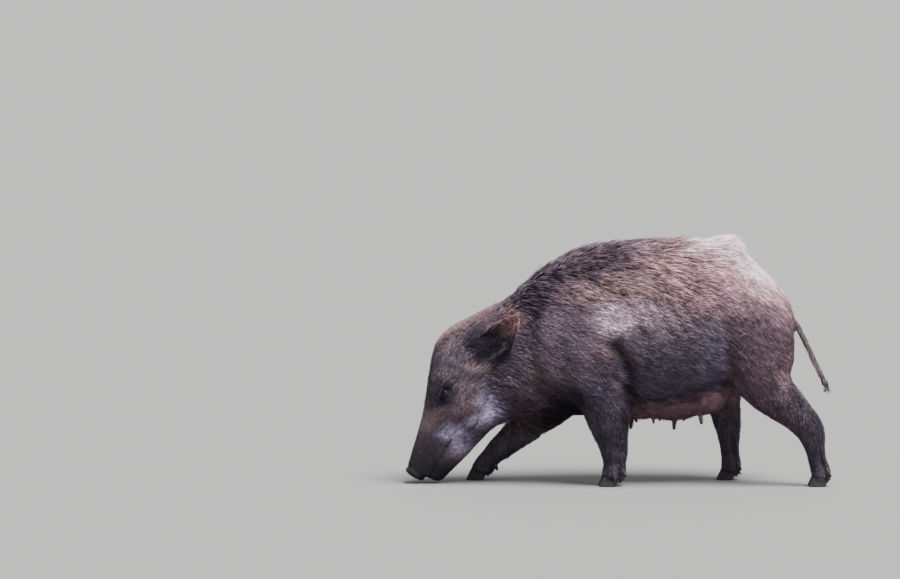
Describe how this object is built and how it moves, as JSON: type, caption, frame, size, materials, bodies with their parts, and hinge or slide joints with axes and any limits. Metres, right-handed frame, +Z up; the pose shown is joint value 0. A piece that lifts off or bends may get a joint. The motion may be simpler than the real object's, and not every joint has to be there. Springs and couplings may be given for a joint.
{
  "type": "wild boar",
  "caption": "Life-size wild boar sow in full coat, walking with her snout lowered to the ground.",
  "frame": {"origin": "on the floor, under the middle of the bounding box", "axes": "+Z up from the floor, -Y the way she faces, +X out of her left side"},
  "size_m": [0.3398, 1.2132, 0.7028],
  "materials": {
    "coat": "coarse brown-grey bristles over dark skin",
    "nose_skin": "bare, finely wrinkled, nearly black",
    "udder_skin": "bare pinkish-brown skin",
    "horn": "dull dark horn",
    "eye": "wet, dark brown"
  },
  "bodies": {
    "root": {"claw_fore_left_in": "horn", "claw_fore_left_out": "horn", "claw_fore_right_in": "horn", "claw_fore_right_out": "horn", "claw_hind_left_in": "horn", "claw_hind_left_out": "horn", "claw_hind_right_in": "horn", "claw_hind_right_out": "horn", "dewclaw_fore_left_in": "horn", "dewclaw_fore_left_out": "horn", "dewclaw_fore_right_in": "horn", "dewclaw_fore_right_out": "horn", "dewclaw_hind_left_in": "horn", "dewclaw_hind_left_out": "horn", "dewclaw_hind_right_in": "horn", "dewclaw_hind_right_out": "horn", "ear_left": "coat", "ear_right": "coat", "eye_left": "eye", "eye_right": "eye", "forefoot_left": "coat", "forefoot_right": "coat", "foreleg_left": "coat", "foreleg_right": "coat", "head": "coat", "hindfoot_left": "coat", "hindfoot_right": "coat", "hindleg_left": "coat", "hindleg_right": "coat", "jaw": "coat", "neck": "coat", "nose": "nose_skin", "snout": "coat", "tail": "coat", "trunk": "coat", "udder": "udder_skin"}
  },
  "joints": []
}
